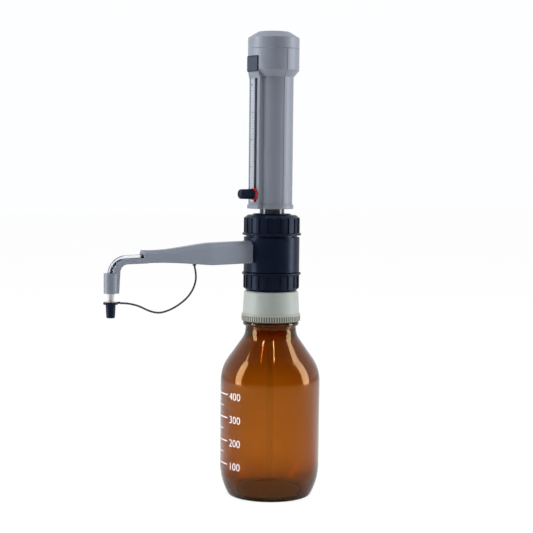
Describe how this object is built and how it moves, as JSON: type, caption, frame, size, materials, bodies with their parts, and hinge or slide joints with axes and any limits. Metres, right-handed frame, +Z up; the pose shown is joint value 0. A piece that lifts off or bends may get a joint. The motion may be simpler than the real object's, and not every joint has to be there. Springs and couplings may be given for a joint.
{
  "type": "bottle-top dispenser",
  "caption": "Bottle-top dispenser on an amber reagent bottle: lifted piston handle with a volume pointer, swivelling valve housing, discharge arm and tethered nozzle cap.",
  "frame": {"origin": "middle of the bottle's foot, on the surface that it stands on", "axes": "+Z up along the bottle's axis; the discharge arm points along -X"},
  "size_m": [0.2021, 0.086, 0.3995],
  "materials": {
    "amber_glass": "clear amber glass",
    "clear_glass": "clear",
    "ball_glass": "polished",
    "adapter_grey": "moulded satin",
    "navy_ribbed": "moulded, half gloss",
    "navy_smooth": "moulded, half gloss",
    "plate_navy": "bare satin plate",
    "handle_grey": "moulded satin",
    "scale_pale": "printed strip",
    "pointer_red": "moulded, half gloss",
    "dark_plastic": "moulded satin",
    "seal_white": "waxy white",
    "clear_tube": "milky clear",
    "strap_rubber": "smooth",
    "steel": "turned"
  },
  "bodies": {
    "bottle": {"bottle": "amber_glass", "adapter_gasket": "seal_white", "thread_adapter": "adapter_grey", "collar_nut": "navy_ribbed"},
    "pump": {"valve_housing": "navy_smooth", "filling_valve": "seal_white", "suction_tube": "clear_tube", "discharge_valve": "seal_white", "cylinder_seal": "seal_white", "glass_cylinder": "clear_glass", "stop_ring": "dark_plastic", "union_nut": "navy_ribbed", "arm_shroud": "handle_grey", "delivery_tube": "clear_tube", "strap_anchor": "strap_rubber", "cap_strap": "strap_rubber"},
    "handle": {"front_shell": "handle_grey", "rear_shell": "handle_grey", "base_ring": "handle_grey", "scale_strip": "scale_pale", "head_plate": "plate_navy", "top_cap": "handle_grey", "rod_carrier": "dark_plastic", "piston_rod": "steel", "rod_nut": "steel", "piston": "dark_plastic", "piston_seal": "seal_white"},
    "pointer": {"pointer_carriage": "dark_plastic", "volume_pointer": "pointer_red"},
    "knob": {"adjuster_knob": "navy_ribbed", "clamp_stud": "steel"},
    "tip_cap": {"nozzle_cap": "navy_smooth"},
    "suction_ball": {"filling_ball": "ball_glass"},
    "outlet_ball": {"discharge_ball": "ball_glass"}
  },
  "joints": [
    {"name": "pump_swivel", "type": "hinge", "parent": "bottle", "child": "pump", "pos_m": [0, 0, 0.1938], "axis": [0, 0, 1], "continuous": true},
    {"name": "handle_lift", "type": "slide", "parent": "pump", "child": "handle", "axis": [0, 0, 1], "range_m": [0, 0.0915]},
    {"name": "pointer_slide", "type": "slide", "parent": "handle", "child": "pointer", "axis": [0, 0, 1], "range_m": [-0.0027, 0.0925]},
    {"name": "knob_turn", "type": "hinge", "parent": "pointer", "child": "knob", "pos_m": [-0.0209, -0.0023, 0.2608], "axis": [-1, 0, 0], "range_deg": [0, 270]},
    {"name": "cap_pull", "type": "slide", "parent": "pump", "child": "tip_cap", "axis": [0, 0, -1], "range_m": [0, 0.012]},
    {"name": "suction_ball_lift", "type": "slide", "parent": "pump", "child": "suction_ball", "axis": [0, 0, 1], "range_m": [0, 0.0015]},
    {"name": "outlet_ball_lift", "type": "slide", "parent": "pump", "child": "outlet_ball", "axis": [-1, 0, 0], "range_m": [0, 0.0015]}
  ]
}
